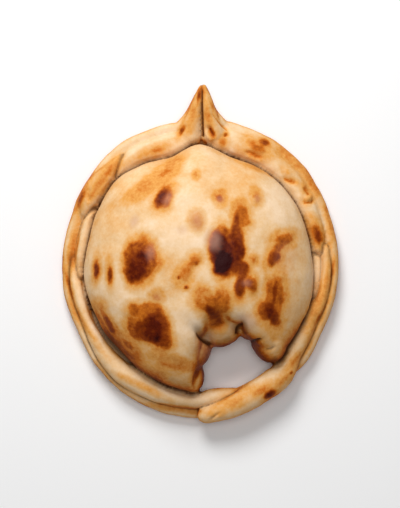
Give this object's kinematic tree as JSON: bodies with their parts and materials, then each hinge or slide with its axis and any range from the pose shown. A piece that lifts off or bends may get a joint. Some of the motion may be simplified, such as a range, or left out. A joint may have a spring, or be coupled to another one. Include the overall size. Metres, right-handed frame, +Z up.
{
  "type": "empanada",
  "caption": "Round baked empanada: a puffed pouch of browned dough ringed by its rolled, folded edge, pinched to a peak at one side and crossed over itself at the other.",
  "frame": {"origin": "centre of the bounding box on the flat underside that the empanada lies on", "axes": "+Z up, +Y towards the pinched peak, +X to the right of it seen from above"},
  "size_m": [0.1, 0.1224, 0.0325],
  "materials": {
    "crust": "baked dough, cream to golden with brown blisters, satin"
  },
  "bodies": {
    "root": {"empanada": "crust"}
  },
  "joints": []
}
